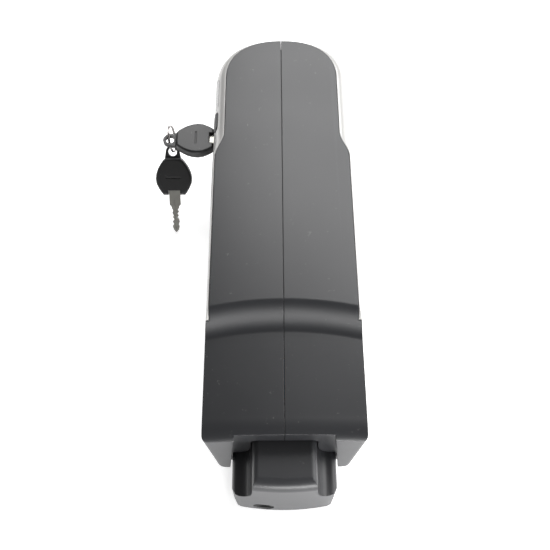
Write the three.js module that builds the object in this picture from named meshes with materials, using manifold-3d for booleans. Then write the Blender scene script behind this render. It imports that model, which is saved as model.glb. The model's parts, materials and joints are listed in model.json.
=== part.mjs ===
// A down-tube battery pack for an electric bicycle, sitting on its dock, with its keys in the lock.
// Units are millimetres. +Z is up, +Y runs along the pack to its rounded end, +X is the pack's right.
// The origin is on the underside of the dock, midway between the two frame screws.
import * as THREE from "three";
import { mergeVertices } from "three/addons/utils/BufferGeometryUtils.js";
import Module from "manifold-3d";

const wasm = await Module();
wasm.setup();

// ---- driving dimensions -------------------------------------------------------------------

const GAP = 0.3; // clearance between neighbouring pieces

// Pack body
const PACK = {
  nearY: -130, // plane of the squared-off end
  nearLean: 2.5, // how much further out that end is at the bottom
  tipY: 181, // rounded end at its widest
  archY: 138, // where the rounded end starts
  baseZ: 15,
  topZ: 98, // crest of the tall part
  lowZ: 84.4, // crest just past the step
  footHalf: 44.6, // half width at the underside
  wideHalf: 50.6, // half width at the widest
  wideZ: 76,
  capHalf: 41, // half width of the top cap
  capWideHalf: 47.2, // the same, past the flare
  capEdgeZ: 95.5,
  capTipY: 171,
  flareY: [66, 87], // the cap narrows between these
  archPower: 2.35, // squareness of the rounded end
  crown: 2.4, // drop of the top from its middle to its edge
  wall: 2.6,
};
const STEP = { farY: -45, nearY: -63, sweep: 4 };
const PANEL = { thick: 2.2, nearY: -57, lowZ: 20 };
const RECESS = { depth: 2.5, topHalf: 29, footHalf: 36.7 };

// Dock
const NOSE = {
  footHalf: 34,
  shoulderZ: 36,
  bumpHalf: 20,
  topZ: 66,
  frontY: -158.4,
  lean: 1.2, // how far the front face leans back from foot to top
  roll: 8, // rounding between the front and the top
  bow: 3.5, // how far the front bulges in its middle
  backY: -109,
  wall: 3,
};
const POCKET = { backY: -108, clear: 1 };
const RAIL = { neckHalf: 20, half: 27.2, neckZ: 5.5, topZ: 10.5, nearY: -106, farY: 124 };
const CHANNEL = { lowZ: 2.2, hookZ: 4.9, webZ: 11.2, hookHalf: 21, innerHalf: 27.8, half: 31.5 };
const FRAME_SCREW_Y = 32;
const CABLE_HOLE = { x: -13.8, z: 10, radius: 7 };

// Lock and keys
const LOCK = { y: 105.4, z: 62, radius: 11, plugRadius: 7, innerX: -17.5 };
const BOLT = { x: -12.5, y: 108.5, radius: 4, tipZ: 12.2 };
const CRANK = { radius: 5.5, pin: 1.3 };
const KEY = {
  holeX: -85.4, // eye of the key that is in the lock
  length: 65, // from the eye to the tip
  bowEnd: 34, // from the eye to the ends of the two prongs
  bowHalf: 14.5,
  bowThick: 8,
  eyeThick: 2.6,
  eyeHole: 3.4,
  eyeHalf: 6,
  shankHalf: 4.5,
  tipHalf: 2.8,
  bladeThick: 2.2,
};
const RING = { radius: 10.2, wire: 0.8, dropAngle: 46 };
const SPARE_LEAN = 45.7; // degrees below level at which the spare key leans on the ground

// Gauge and button, on the left shoulder
const GAUGE = { y: 126, z: 87, length: 28, height: 5, thick: 3 };
const BUTTON = { y: 101, z: 86.5, length: 17, height: 6.5, thick: 5, proud: 0.9 };

// Charge socket, low on the right side
const SOCKET = { y: -99, z: 34, radius: 6.5, bore: 4, flange: 10, innerX: 36.4, faceX: 47.7 };
const FLAP = { thick: 2, pivotY: -86.8, knuckle: 1.4 };

// Cells
const CELL = { radius: 9.1, length: 65, groups: 10, rows: 3, pitch: 18.5, firstY: -79, lowZ: 29.5 };
const CONNECTOR = { half: 16, lowZ: 28, highZ: 50, blades: 4 };

// ---- helpers ------------------------------------------------------------------------------

const flat = (x, y) => new THREE.Vector2(x, y);

// A geometry as a manifold solid, optionally moved by a matrix.
function solid(geometry, matrix) {
  const bare = geometry.index ? geometry.toNonIndexed() : geometry.clone();
  bare.deleteAttribute("normal");
  bare.deleteAttribute("uv");
  if (matrix) bare.applyMatrix4(matrix);
  const merged = mergeVertices(bare, 1e-4);
  const mesh = new wasm.Mesh({
    numProp: 3,
    vertProperties: merged.attributes.position.array,
    triVerts: new Uint32Array(merged.index.array),
  });
  return new wasm.Manifold(mesh);
}

// A manifold solid as a three.js geometry with flat shading.
function geometryOf(shape) {
  const mesh = shape.getMesh();
  const geometry = new THREE.BufferGeometry();
  geometry.setAttribute("position", new THREE.BufferAttribute(mesh.vertProperties, mesh.numProp));
  geometry.setIndex(new THREE.BufferAttribute(mesh.triVerts, 1));
  geometry.computeVertexNormals();
  return geometry;
}

const moved = (x, y, z) => new THREE.Matrix4().makeTranslation(x, y, z);
const basis = (u, v, w) => new THREE.Matrix4().makeBasis(u, v, w);
const X = new THREE.Vector3(1, 0, 0);
const Y = new THREE.Vector3(0, 1, 0);
const Z = new THREE.Vector3(0, 0, 1);
const ALONG_X = basis(Y, Z, X); // outline in Y and Z, thickness along X
const ALONG_Y = basis(Z, X, Y); // outline in Z and X, thickness along Y

// A block between two corners.
function block(x0, x1, y0, y1, z0, z1) {
  const box = new THREE.BoxGeometry(x1 - x0, y1 - y0, z1 - z0);
  return solid(box, moved((x0 + x1) / 2, (y0 + y1) / 2, (z0 + z1) / 2));
}

// A rod along X, Y or Z from one end to the other, centred on the two other coordinates.
function rod(axis, from, to, centre, radius, sides = 24) {
  const geometry = new THREE.CylinderGeometry(radius, radius, to - from, sides);
  const middle = (from + to) / 2;
  if (axis === "z") {
    geometry.rotateX(Math.PI / 2);
    return solid(geometry, moved(centre[0], centre[1], middle));
  }
  if (axis === "x") {
    geometry.rotateZ(Math.PI / 2);
    return solid(geometry, moved(middle, centre[0], centre[1]));
  }
  return solid(geometry, moved(centre[0], middle, centre[1]));
}

// A solid through equal-sized outlines stacked at rising heights, closed at both ends.
function stack(layers, frame) {
  const count = layers[0].outline.length;
  const positions = [];
  for (const layer of layers) {
    for (const point of layer.outline) positions.push(point.x, point.y, layer.height);
  }
  const index = [];
  for (let level = 0; level + 1 < layers.length; level++) {
    for (let i = 0; i < count; i++) {
      const here = level * count + i;
      const next = level * count + ((i + 1) % count);
      index.push(here, next, next + count);
      index.push(here, next + count, here + count);
    }
  }
  const last = (layers.length - 1) * count;
  for (const [a, b, c] of THREE.ShapeUtils.triangulateShape(layers[0].outline, [])) index.push(a, c, b);
  for (const [a, b, c] of THREE.ShapeUtils.triangulateShape(layers[layers.length - 1].outline, [])) {
    index.push(last + a, last + b, last + c);
  }
  const geometry = new THREE.BufferGeometry();
  geometry.setAttribute("position", new THREE.Float32BufferAttribute(positions, 3));
  geometry.setIndex(index);
  return solid(geometry, frame);
}

// An outline mirrored about x = 0: the right half runs from the bottom to the top.
function mirrored(rightHalf) {
  const left = rightHalf
    .filter((point) => point.x > 0)
    .map((point) => flat(-point.x, point.y))
    .reverse();
  return [...rightHalf, ...left];
}

// A straight prism of an outline between two heights of a frame.
const prism = (outline, low, high, frame) =>
  stack(
    [
      { height: low, outline },
      { height: high, outline },
    ],
    frame,
  );

// A round-sectioned tube along a smooth curve through points.
function tube(points, radius, steps, sides = 8) {
  const curve = new THREE.CatmullRomCurve3(points.map((p) => new THREE.Vector3(...p)));
  const section = new THREE.Shape();
  for (let i = 0; i < sides; i++) {
    const turn = (2 * Math.PI * i) / sides;
    const point = [radius * Math.cos(turn), radius * Math.sin(turn)];
    if (i === 0) section.moveTo(...point);
    else section.lineTo(...point);
  }
  return solid(new THREE.ExtrudeGeometry(section, { extrudePath: curve, steps, curveSegments: 1 }));
}

const root = new THREE.Group();

// Adds a named piece with its own material.
function piece(name, shape, colour, roughness, metalness = 0) {
  const material = new THREE.MeshStandardMaterial({ color: colour, roughness, metalness });
  const mesh = new THREE.Mesh(geometryOf(shape), material);
  mesh.name = name;
  root.add(mesh);
}

// ---- pack envelope ------------------------------------------------------------------------

// Half width, rounded-end position and height of the body's skin, at a point up its shoulder.
// climb runs 0 at the widest line to 1 at the cap's edge.
function shoulder(climb, inset) {
  const turn = (climb * Math.PI) / 2;
  const across = PACK.wideHalf - PACK.capHalf;
  const rise = PACK.capEdgeZ - PACK.wideZ;
  const lost = across * (1 - Math.cos(turn)) + inset;
  return {
    half: PACK.wideHalf - lost,
    tip: PACK.tipY - lost,
    height: PACK.wideZ + (rise - inset) * Math.sin(turn),
    outwards: new THREE.Vector3(-Math.cos(turn) / across, 0, Math.sin(turn) / rise).normalize(),
  };
}

// The plan of the body at one level: straight sides, squared near end, rounded far end.
function bodyPlan(half, tip, near, corner = 3) {
  const segments = 18;
  const outline = [flat(half - corner, near), flat(half, near + corner)];
  for (let i = 0; i <= segments; i++) {
    const turn = (Math.PI * i) / segments;
    const across = Math.sign(Math.cos(turn)) * Math.abs(Math.cos(turn)) ** (2 / PACK.archPower);
    const along = Math.abs(Math.sin(turn)) ** (2 / PACK.archPower);
    outline.push(flat(half * across, PACK.archY + (tip - PACK.archY) * along));
  }
  outline.push(flat(-half, near + corner), flat(-half + corner, near));
  return outline;
}

// The near end leans out a little towards the bottom.
const nearAt = (z) => PACK.nearY - (PACK.nearLean * (PACK.capEdgeZ - z)) / (PACK.capEdgeZ - PACK.baseZ);

// The body's sides, all round, set in by some distance.
function sides(inset, low = PACK.baseZ) {
  const chamfer = 2.5;
  const layers = [];
  const add = (half, tip, height) =>
    layers.push({ height, outline: bodyPlan(half, tip, nearAt(height) + inset) });
  add(PACK.footHalf - chamfer - inset, PACK.tipY - 2 * chamfer - inset, low);
  add(PACK.footHalf - inset, PACK.tipY - chamfer - inset, low + chamfer);
  for (const climb of [0, 0.22, 0.44, 0.66, 0.84, 1]) {
    const skin = shoulder(climb, inset);
    add(skin.half, skin.tip, skin.height);
  }
  const top = shoulder(1, inset);
  add(top.half, top.tip, PACK.topZ + 4);
  return stack(layers);
}

// The crest line seen from the side, as it is at some distance from the middle plane.
function crest(x, drop) {
  const share = (x / PACK.capWideHalf) ** 2;
  const down = PACK.crown * share + drop;
  const sweep = STEP.sweep * share - drop / 2;
  const rise = PACK.topZ - PACK.lowZ;
  const run = STEP.farY - STEP.nearY;
  const line = [
    [PACK.nearY - 6, 72],
    [PACK.nearY - 3, 76.6],
    [PACK.nearY + 1, 79.8],
    [PACK.nearY + 7, 81.6],
    [PACK.nearY + 15, 82.4],
  ];
  for (const share of [0, 0.12, 0.3, 0.5, 0.7, 0.88, 1]) {
    const blend = share * share * (3 - 2 * share);
    line.push([STEP.nearY + run * share - sweep, PACK.lowZ + rise * blend]);
  }
  line.push([PACK.tipY + 10, PACK.topZ]);
  const top = line.map(([y, z]) => flat(y, z - down)).reverse();
  return [flat(PACK.nearY - 6, 0), flat(PACK.tipY + 10, 0), ...top];
}

// Everything below the crest line.
function underCrest(drop) {
  const stations = [-54, -47, -38, -26, -13, 0, 13, 26, 38, 47, 54];
  return stack(
    stations.map((x) => ({ height: x, outline: crest(x, drop) })),
    ALONG_X,
  );
}

// The plan of the raised cap: narrow beside the lock, flared out to almost the full width before the step.
function capPlan(grow) {
  const outline = [flat(PACK.capWideHalf + grow, -100)];
  const [flareNear, flareFar] = PACK.flareY;
  for (let i = 0; i <= 6; i++) {
    const share = i / 6;
    const blend = share * share * (3 - 2 * share);
    const half = PACK.capWideHalf + (PACK.capHalf - PACK.capWideHalf) * blend;
    outline.push(flat(half + grow, flareNear + (flareFar - flareNear) * share));
  }
  const segments = 18;
  for (let i = 0; i <= segments / 2; i++) {
    const turn = (Math.PI * i) / segments;
    const across = Math.cos(turn) ** (2 / PACK.archPower);
    const along = Math.sin(turn) ** (2 / PACK.archPower);
    const y = PACK.archY + (PACK.capTipY + grow - PACK.archY) * along;
    outline.push(flat((PACK.capHalf + grow) * (i === segments / 2 ? 0 : across), y));
  }
  return mirrored(outline);
}

const FAR = 400;
const envelope = sides(0).intersect(underCrest(0));
const core = sides(PANEL.thick + GAP, PACK.baseZ).intersect(underCrest(0));
const capColumn = prism(capPlan(0), 70, 120);
const wideCapColumn = prism(capPlan(GAP), 70, 120);

// The nose's section, which the pack's near end is cut out to clear.
function noseSection(grow) {
  const { footHalf, shoulderZ, bumpHalf, topZ } = NOSE;
  const right = [
    flat(footHalf + grow, -1),
    flat(footHalf + grow, shoulderZ - 5 + grow),
    flat(footHalf - 1.2 + grow, shoulderZ - 1.6 + grow),
    flat(footHalf - 4.5 + grow, shoulderZ + grow),
    flat(bumpHalf + 6.5 + grow, shoulderZ + 3 + grow),
    flat(bumpHalf + 3 + grow, shoulderZ + 8.5 + grow),
    flat(bumpHalf + 1.2 + grow, shoulderZ + 17),
    flat(bumpHalf + grow, topZ - 4),
    flat(bumpHalf - 1.2 + grow, topZ - 1.2 + grow),
    flat(bumpHalf - 4 + grow, topZ + grow),
  ];
  return mirrored(right);
}

// An outline in X and Z turned for a frame whose first two axes are Z and X.
const turned = (outline) => outline.map((point) => flat(point.y, point.x)).reverse();
const alongY = (outline, near, far) => prism(turned(outline), near, far, ALONG_Y);

const pocket = alongY(noseSection(POCKET.clear), -FAR, POCKET.backY);
const pocketWall = alongY(noseSection(POCKET.clear + PACK.wall), -FAR, POCKET.backY + PACK.wall);

// The shallow recess between the two cheeks of the near end.
const recess = alongY(
  mirrored([flat(RECESS.footHalf, PACK.baseZ - 5), flat(RECESS.topHalf, PACK.topZ)]),
  -FAR,
  PACK.nearY + RECESS.depth,
);

// Inside of the shells: a slim one beside the side panels, a wider one past the step.
const slimHollow = sides(PANEL.thick + GAP + PACK.wall, PACK.baseZ + PACK.wall).intersect(underCrest(3));
const wideHollow = sides(PACK.wall + RECESS.depth, PACK.baseZ + PACK.wall)
  .intersect(underCrest(3))
  .intersect(block(-FAR, FAR, -FAR, STEP.nearY - 6, -FAR, FAR));
const hollow = slimHollow.add(wideHollow).subtract(pocketWall);

const nearBlock = (gap) => block(-FAR, FAR, -FAR, PANEL.nearY - gap, -FAR, FAR);
const lowBlock = (gap) => block(-FAR, FAR, -FAR, FAR, -FAR, PANEL.lowZ - gap);

const lockHole = rod("x", -FAR, LOCK.innerX + 1, [LOCK.y, LOCK.z], LOCK.radius + GAP, 28);
const socketHole = rod("x", 30, FAR, [SOCKET.y, SOCKET.z], SOCKET.radius + GAP);
const boltHole = rod("z", 0, 40, [BOLT.x, BOLT.y], BOLT.radius + 0.5);

// Something laid on the left shoulder: its frame has +X outwards, +Y along the pack.
function onShoulder(y, z) {
  const rise = (z - PACK.wideZ) / (PACK.capEdgeZ - PACK.wideZ);
  const skin = shoulder(Math.asin(rise) / (Math.PI / 2), 0);
  const { outwards } = skin;
  const up = new THREE.Vector3().crossVectors(outwards, Y);
  const frame = basis(outwards, Y, up);
  frame.setPosition(-skin.half, y, skin.height);
  return { frame, outwards };
}

// A bar with rounded ends in such a frame.
function shoulderBar(item, inner, outer, grow) {
  const { frame } = onShoulder(item.y, item.z);
  const straight = (item.length - item.height) / 2;
  const radius = item.height / 2 + grow;
  const outline = [];
  const arc = 6;
  for (let i = 0; i <= arc; i++) {
    const turn = (Math.PI * i) / arc - Math.PI / 2;
    outline.push(flat(straight + radius * Math.cos(turn), radius * Math.sin(turn)));
  }
  for (let i = 0; i <= arc; i++) {
    const turn = (Math.PI * i) / arc + Math.PI / 2;
    outline.push(flat(-straight + radius * Math.cos(turn), radius * Math.sin(turn)));
  }
  return prism(outline, inner, outer, new THREE.Matrix4().multiplyMatrices(frame, ALONG_X));
}

const gaugeHole = shoulderBar(GAUGE, -14, 10, GAP);
const buttonHole = shoulderBar(BUTTON, -14, 10, GAP);

// ---- shells and side panels ---------------------------------------------------------------

const greyBody = core
  .add(envelope.intersect(capColumn))
  .add(envelope.intersect(nearBlock(0)))
  .add(envelope.intersect(lowBlock(0)))
  .subtract(hollow)
  .subtract(pocket)
  .subtract(recess)
  .subtract(alongY(mirrored([flat(CONNECTOR.half + GAP, CONNECTOR.lowZ - GAP),
    flat(CONNECTOR.half + GAP, CONNECTOR.highZ + GAP)]), -FAR, POCKET.backY + 8));

const seam = GAP / 2;
const leftHalf = block(-FAR, -seam, -FAR, FAR, -FAR, FAR);
const rightHalf = block(seam, FAR, -FAR, FAR, -FAR, FAR);

const skin = envelope
  .subtract(sides(PANEL.thick))
  .subtract(wideCapColumn)
  .subtract(nearBlock(-GAP))
  .subtract(lowBlock(-GAP));

const CASE_GREY = 0x3c3d40;
const SILVER = 0xd6d7d6;
piece(
  "left_shell",
  greyBody.intersect(leftHalf).subtract(lockHole).subtract(boltHole).subtract(gaugeHole).subtract(buttonHole),
  CASE_GREY,
  0.45,
);
piece("right_shell", greyBody.intersect(rightHalf).subtract(socketHole), CASE_GREY, 0.45);
piece(
  "left_side_panel",
  skin.intersect(leftHalf).subtract(lockHole).subtract(gaugeHole).subtract(buttonHole),
  SILVER,
  0.35,
  0.2,
);
piece("right_side_panel", skin.intersect(rightHalf), SILVER, 0.35, 0.2);

// A rubber strip that bridges the seam on the inside.
const gasketDepth = 1.4;
const gasketOut = PANEL.thick + PACK.wall + 2 * GAP;
const gasket = sides(gasketOut, PACK.baseZ + PACK.wall + GAP)
  .intersect(underCrest(3 + GAP))
  .subtract(
    sides(gasketOut + gasketDepth, PACK.baseZ + PACK.wall + GAP + gasketDepth)
      .intersect(underCrest(3 + GAP + gasketDepth)),
  )
  .intersect(block(-1.5, 1.5, CELL.firstY, FAR, -FAR, FAR));
piece("seam_gasket", gasket, 0x151515, 0.8);

// ---- sliding channel under the pack -------------------------------------------------------

const CHANNEL_SCREW_X = 14;
const CHANNEL_SCREW_Y = [-80, 0, 80];
const HEAD_RADIUS = 3.4;
const SHANK_RADIUS = 1.5;
const channelSection = mirrored([
  flat(CHANNEL.hookHalf, CHANNEL.lowZ),
  flat(CHANNEL.half, CHANNEL.lowZ),
  flat(CHANNEL.half, PACK.baseZ - GAP),
]);
let channel = alongY(channelSection, -104, 150)
  .subtract(block(-CHANNEL.innerHalf, CHANNEL.innerHalf, -FAR, FAR, CHANNEL.hookZ, CHANNEL.webZ))
  .subtract(block(-CHANNEL.hookHalf, CHANNEL.hookHalf, -FAR, FAR, -FAR, CHANNEL.webZ))
  .subtract(boltHole);

const screwSites = [];
for (const y of CHANNEL_SCREW_Y) {
  for (const x of [-CHANNEL_SCREW_X, CHANNEL_SCREW_X]) screwSites.push([x, y]);
}
for (const [x, y] of screwSites) {
  channel = channel
    .subtract(rod("z", 0, CHANNEL.webZ + 2, [x, y], HEAD_RADIUS + GAP, 12))
    .subtract(rod("z", 0, 20, [x, y], SHANK_RADIUS + GAP, 12));
}
piece("slide_channel", channel, 0x2b2c2e, 0.55);

screwSites.forEach(([x, y], i) => {
  const head = rod("z", CHANNEL.webZ + 0.2, CHANNEL.webZ + 2 - GAP, [x, y], HEAD_RADIUS, 12);
  const shank = rod("z", CHANNEL.webZ + 1, PACK.baseZ - GAP, [x, y], SHANK_RADIUS, 10);
  piece(`channel_screw_${i + 1}`, head.add(shank), 0x9a9a98, 0.35, 1);
});

// ---- cells and electronics ----------------------------------------------------------------

// One group: cells stacked in a zigzag column, joined at both ends by a nickel strip.
const rowRise = CELL.pitch * Math.sqrt(0.75);
const stripThick = 0.4;
for (let group = 0; group < CELL.groups; group++) {
  const middleY = CELL.firstY + group * CELL.pitch;
  const half = CELL.length / 2;
  let cells = null;
  for (let row = 0; row < CELL.rows; row++) {
    const y = middleY + (row % 2 ? 1 : -1) * (CELL.pitch / 4);
    const z = CELL.lowZ + row * rowRise;
    const cell = rod("x", -half, half, [y, z], CELL.radius, 12);
    cells = cells ? cells.add(cell) : cell;
  }
  const topZ = CELL.lowZ + (CELL.rows - 1) * rowRise;
  for (const side of [-1, 1]) {
    const inner = side * (half - 0.5);
    const outer = side * (half + stripThick);
    const x = [Math.min(inner, outer), Math.max(inner, outer)];
    cells = cells.add(block(x[0], x[1], middleY - 4, middleY + 4, CELL.lowZ - 4, topZ + 4));
  }
  piece(`cell_group_${group + 1}`, cells, 0x2f6f9f, 0.4);
}

const cellsNear = CELL.firstY - CELL.pitch / 4 - CELL.radius;
const cellsFar = CELL.firstY + (CELL.groups - 1) * CELL.pitch + CELL.pitch / 4 + CELL.radius;
const cellsTop = CELL.lowZ + (CELL.rows - 1) * rowRise + CELL.radius;
const insulatorX = CELL.length / 2 + stripThick + GAP;
for (const side of [-1, 1]) {
  const x = [side * insulatorX, side * (insulatorX + 1.2)].sort((a, b) => a - b);
  const plate = block(x[0], x[1], cellsNear, cellsFar - 12, CELL.lowZ - CELL.radius, cellsTop);
  piece(side < 0 ? "left_insulator" : "right_insulator", plate, 0xc9b98a, 0.8);
}

const BOARD = { half: 27, nearY: -34, farY: 56, lowZ: cellsTop + 4, thick: 1.6 };
const boardTop = BOARD.lowZ + BOARD.thick;
piece(
  "bms_board",
  block(-BOARD.half, BOARD.half, BOARD.nearY, BOARD.farY, BOARD.lowZ, boardTop),
  0x1d5a35,
  0.5,
);
let heatsink = block(-22, 22, -20, 20, boardTop + GAP, boardTop + 2.5);
for (let fin = 0; fin < 6; fin++) {
  const x = -22 + fin * 8.4;
  heatsink = heatsink.add(block(x, x + 2, -20, 20, boardTop + 1, boardTop + 8));
}
piece("bms_heatsink", heatsink, 0xa8abad, 0.4, 1);

const fuseZ = boardTop + GAP;
piece(
  "fuse_holder",
  block(-12, 12, 30, 50, fuseZ, fuseZ + 8).subtract(block(-8, 8, 34, 46, fuseZ + 3, fuseZ + 20)),
  0x222222,
  0.6,
);
piece("fuse", block(-7.6, 7.6, 34.4, 45.6, fuseZ + 3 + GAP, fuseZ + 10), 0xc2571f, 0.4);

const plugTop = CONNECTOR.highZ;
const leads = [
  ["positive_lead", 1, 0x9b1c1c],
  ["negative_lead", -1, 0x151515],
];
for (const [name, side, colour] of leads) {
  const route = [
    [side * 14, BOARD.nearY - 0.6, BOARD.lowZ - 0.5],
    [side * 17, -60, cellsTop + 3],
    [side * 17, -88, cellsTop + 2.5],
    [side * 12, -98.5, cellsTop - 8],
    [side * 11, -99.5, plugTop + 1],
  ];
  piece(name, tube(route, 1.6, 14), colour, 0.5);
}

// Female connector in the pack: one slot for each blade of the dock.
const bladePitch = 7.6;
const bladeX = (i) => (i - (CONNECTOR.blades - 1) / 2) * bladePitch;
let packConnector = block(
  -CONNECTOR.half, CONNECTOR.half, POCKET.backY + GAP, -95.2, CONNECTOR.lowZ, CONNECTOR.highZ,
);
for (let i = 0; i < CONNECTOR.blades; i++) {
  packConnector = packConnector.subtract(block(bladeX(i) - 1, bladeX(i) + 1, -FAR, -97.2, 33, 45));
}
piece("pack_connector", packConnector, 0x1c1c1e, 0.5);

// ---- lock ---------------------------------------------------------------------------------

const lockFaceX = -49.6;
const lockCentre = [LOCK.y, LOCK.z];
piece(
  "lock_housing",
  rod("x", lockFaceX, LOCK.innerX, lockCentre, LOCK.radius, 28)
    .subtract(rod("x", -FAR, FAR, lockCentre, LOCK.plugRadius + GAP)),
  0x8d8f90,
  0.35,
  1,
);
const keyTip = KEY.holeX + KEY.length;
const keyway = block(
  -FAR, keyTip + GAP,
  LOCK.y - KEY.shankHalf - GAP, LOCK.y + KEY.shankHalf + GAP,
  LOCK.z - KEY.bladeThick / 2 - GAP, LOCK.z + KEY.bladeThick / 2 + GAP,
);
const plug = rod("x", lockFaceX + 0.4, LOCK.innerX + 0.6, lockCentre, LOCK.plugRadius)
  .subtract(keyway)
  .add(rod("x", keyTip + 1, LOCK.innerX + 6.5, [LOCK.y, LOCK.z + CRANK.radius], CRANK.pin, 10));
piece("lock_plug", plug, 0xb9a777, 0.35, 1);

// The bolt: a round pin with a slotted plate on top that the plug's crank pin works in.
const slotHalf = CRANK.pin + 1.7;
const yokeZ = LOCK.z + CRANK.radius;
const YOKE = { thick: 3.2, half: 9.5, below: 8, above: 7 };
const bolt = rod("z", BOLT.tipZ, yokeZ - YOKE.below + 1, [BOLT.x, BOLT.y], BOLT.radius, 16)
  .add(
    block(
      BOLT.x - YOKE.thick / 2, BOLT.x + YOKE.thick / 2,
      LOCK.y - YOKE.half, LOCK.y + YOKE.half,
      yokeZ - YOKE.below, yokeZ + YOKE.above,
    ),
  )
  .subtract(
    block(
      -FAR, FAR,
      LOCK.y - CRANK.radius - slotHalf, LOCK.y + CRANK.radius + slotHalf,
      yokeZ - slotHalf, yokeZ + slotHalf,
    ),
  );
piece("lock_bolt", bolt, 0x9c9d9e, 0.3, 1);

// ---- keys and ring ------------------------------------------------------------------------

// A key lies along +X from its eye at the origin, flat in X and Y.
function keyBow() {
  const widths = [
    [KEY.eyeHalf, 3.5], [9.6, 9], [13.2, 14], [KEY.bowHalf, 20], [13.4, 26], [10.6, 30.5],
    [KEY.shankHalf + 3.2, KEY.bowEnd],
  ];
  const bowOutline = (inset) => {
    const right = widths.map(([half, along]) => flat(Math.min(along, KEY.bowEnd - inset), inset - half));
    const eye = [];
    const steps = 6;
    for (let i = 0; i <= steps; i++) {
      const turn = (Math.PI * (0.65 + (0.7 * i) / steps));
      const radius = KEY.eyeHalf - inset / 4;
      eye.push(flat(radius * Math.cos(turn), radius * Math.sin(turn)));
    }
    const left = right.map((point) => flat(point.x, -point.y)).reverse();
    return [...eye, ...right, ...left];
  };
  const bevel = 2.4;
  const half = KEY.bowThick / 2;
  const body = stack([
    { height: -half, outline: bowOutline(bevel) },
    { height: bevel - half, outline: bowOutline(0) },
    { height: half - bevel, outline: bowOutline(0) },
    { height: half, outline: bowOutline(bevel) },
  ]);
  const thin = KEY.eyeThick / 2;
  const eyeEnd = 5;
  return body
    .subtract(block(-FAR, eyeEnd, -FAR, FAR, thin, FAR))
    .subtract(block(-FAR, eyeEnd, -FAR, FAR, -FAR, -thin))
    .subtract(rod("z", -FAR, FAR, [0, 0], KEY.eyeHole, 20))
    .subtract(
      block(KEY.bowEnd - 4, FAR, -KEY.shankHalf - GAP, KEY.shankHalf + GAP, -FAR, FAR),
    );
}

function keyBlade() {
  const start = KEY.bowEnd - 4 + GAP;
  const shankEnd = KEY.bowEnd + 9;
  const half = KEY.bladeThick / 2;
  let blade = block(start, shankEnd, -KEY.shankHalf, KEY.shankHalf, -half, half);
  blade = blade.add(block(shankEnd - 1, KEY.length, -KEY.tipHalf, KEY.tipHalf, -half, half));
  const bites = [1.1, 0.6, 1.3, 0.8];
  bites.forEach((depth, i) => {
    const from = shankEnd + 3 + i * 4.4;
    blade = blade
      .subtract(block(from, from + 2, KEY.tipHalf - depth, FAR, -FAR, FAR))
      .subtract(block(from + 1.4, from + 3.2, -FAR, -KEY.tipHalf + bites[3 - i], -FAR, FAR));
  });
  return blade;
}

const inLock = moved(KEY.holeX, LOCK.y, LOCK.z);
const asGeometry = (shape, matrix) => solid(geometryOf(shape), matrix);
piece("key_bow", asGeometry(keyBow(), inLock), 0x2b2b2d, 0.5);
piece("key_blade", asGeometry(keyBlade(), inLock), 0x9a9b98, 0.3, 1);

const degrees = THREE.MathUtils.degToRad;
const ringDrop = degrees(RING.dropAngle);
const ringCentre = new THREE.Vector3(
  KEY.holeX,
  LOCK.y + RING.radius * Math.sin(ringDrop),
  LOCK.z - RING.radius * Math.cos(ringDrop),
);
const ringGeometry = new THREE.TorusGeometry(RING.radius, RING.wire, 8, 32);
ringGeometry.rotateY(Math.PI / 2);
piece(
  "key_ring",
  solid(ringGeometry, moved(ringCentre.x, ringCentre.y, ringCentre.z)),
  0xcfd0cf,
  0.2,
  1,
);

// The spare key hangs from the ring and leans with its tip on the ground, square to the ring's wire.
const lean = degrees(SPARE_LEAN);
const spareAlong = new THREE.Vector3(0, -Math.cos(lean), -Math.sin(lean));
const spareFrame = basis(spareAlong, X, new THREE.Vector3().crossVectors(spareAlong, X));
const spareEye = ringCentre.clone().addScaledVector(spareAlong, RING.radius);
spareFrame.setPosition(spareEye);
piece("spare_key_bow", asGeometry(keyBow(), spareFrame), 0x2b2b2d, 0.5);
piece("spare_key_blade", asGeometry(keyBlade(), spareFrame), 0x9a9b98, 0.3, 1);

// ---- gauge and button ---------------------------------------------------------------------

piece("gauge_window", shoulderBar(GAUGE, -GAUGE.thick, 0.1, 0), 0x1b1c1f, 0.15);
piece("power_button", shoulderBar(BUTTON, -BUTTON.thick, BUTTON.proud, 0), 0x2a2b2d, 0.5);
const boardFrame = onShoulder(GAUGE.y - 9, GAUGE.z).frame;
const boardDepth = -BUTTON.thick - 3.4;
const gaugeBoard = new THREE.BoxGeometry(1.2, 50, 5.4);
gaugeBoard.translate(boardDepth, 0, 0);
piece("gauge_board", solid(gaugeBoard, boardFrame), 0x1d5a35, 0.5);

// ---- charge socket and its flap -----------------------------------------------------------

const socketCentre = [SOCKET.y, SOCKET.z];

piece(
  "charge_socket",
  rod("x", SOCKET.innerX, SOCKET.faceX, socketCentre, SOCKET.radius)
    .add(rod("x", SOCKET.faceX - 0.05, SOCKET.faceX + 0.6, socketCentre, SOCKET.flange))
    .subtract(rod("x", SOCKET.innerX + 2, FAR, socketCentre, SOCKET.bore, 16)),
  0x232427,
  0.5,
);
const flapX = [SOCKET.faceX + 0.6 + GAP, SOCKET.faceX + 0.6 + GAP + FLAP.thick];
const flap = rod("x", flapX[0], flapX[1], socketCentre, SOCKET.flange + 0.4)
  .add(block(flapX[0], flapX[1], SOCKET.y, FLAP.pivotY, SOCKET.z - 4, SOCKET.z + 4))
  .add(rod("z", SOCKET.z - 4, SOCKET.z + 4, [(flapX[0] + flapX[1]) / 2, FLAP.pivotY], FLAP.knuckle, 10));
piece("charge_cover", flap, 0x1a1a1b, 0.85);

// ---- dock ---------------------------------------------------------------------------------

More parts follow.
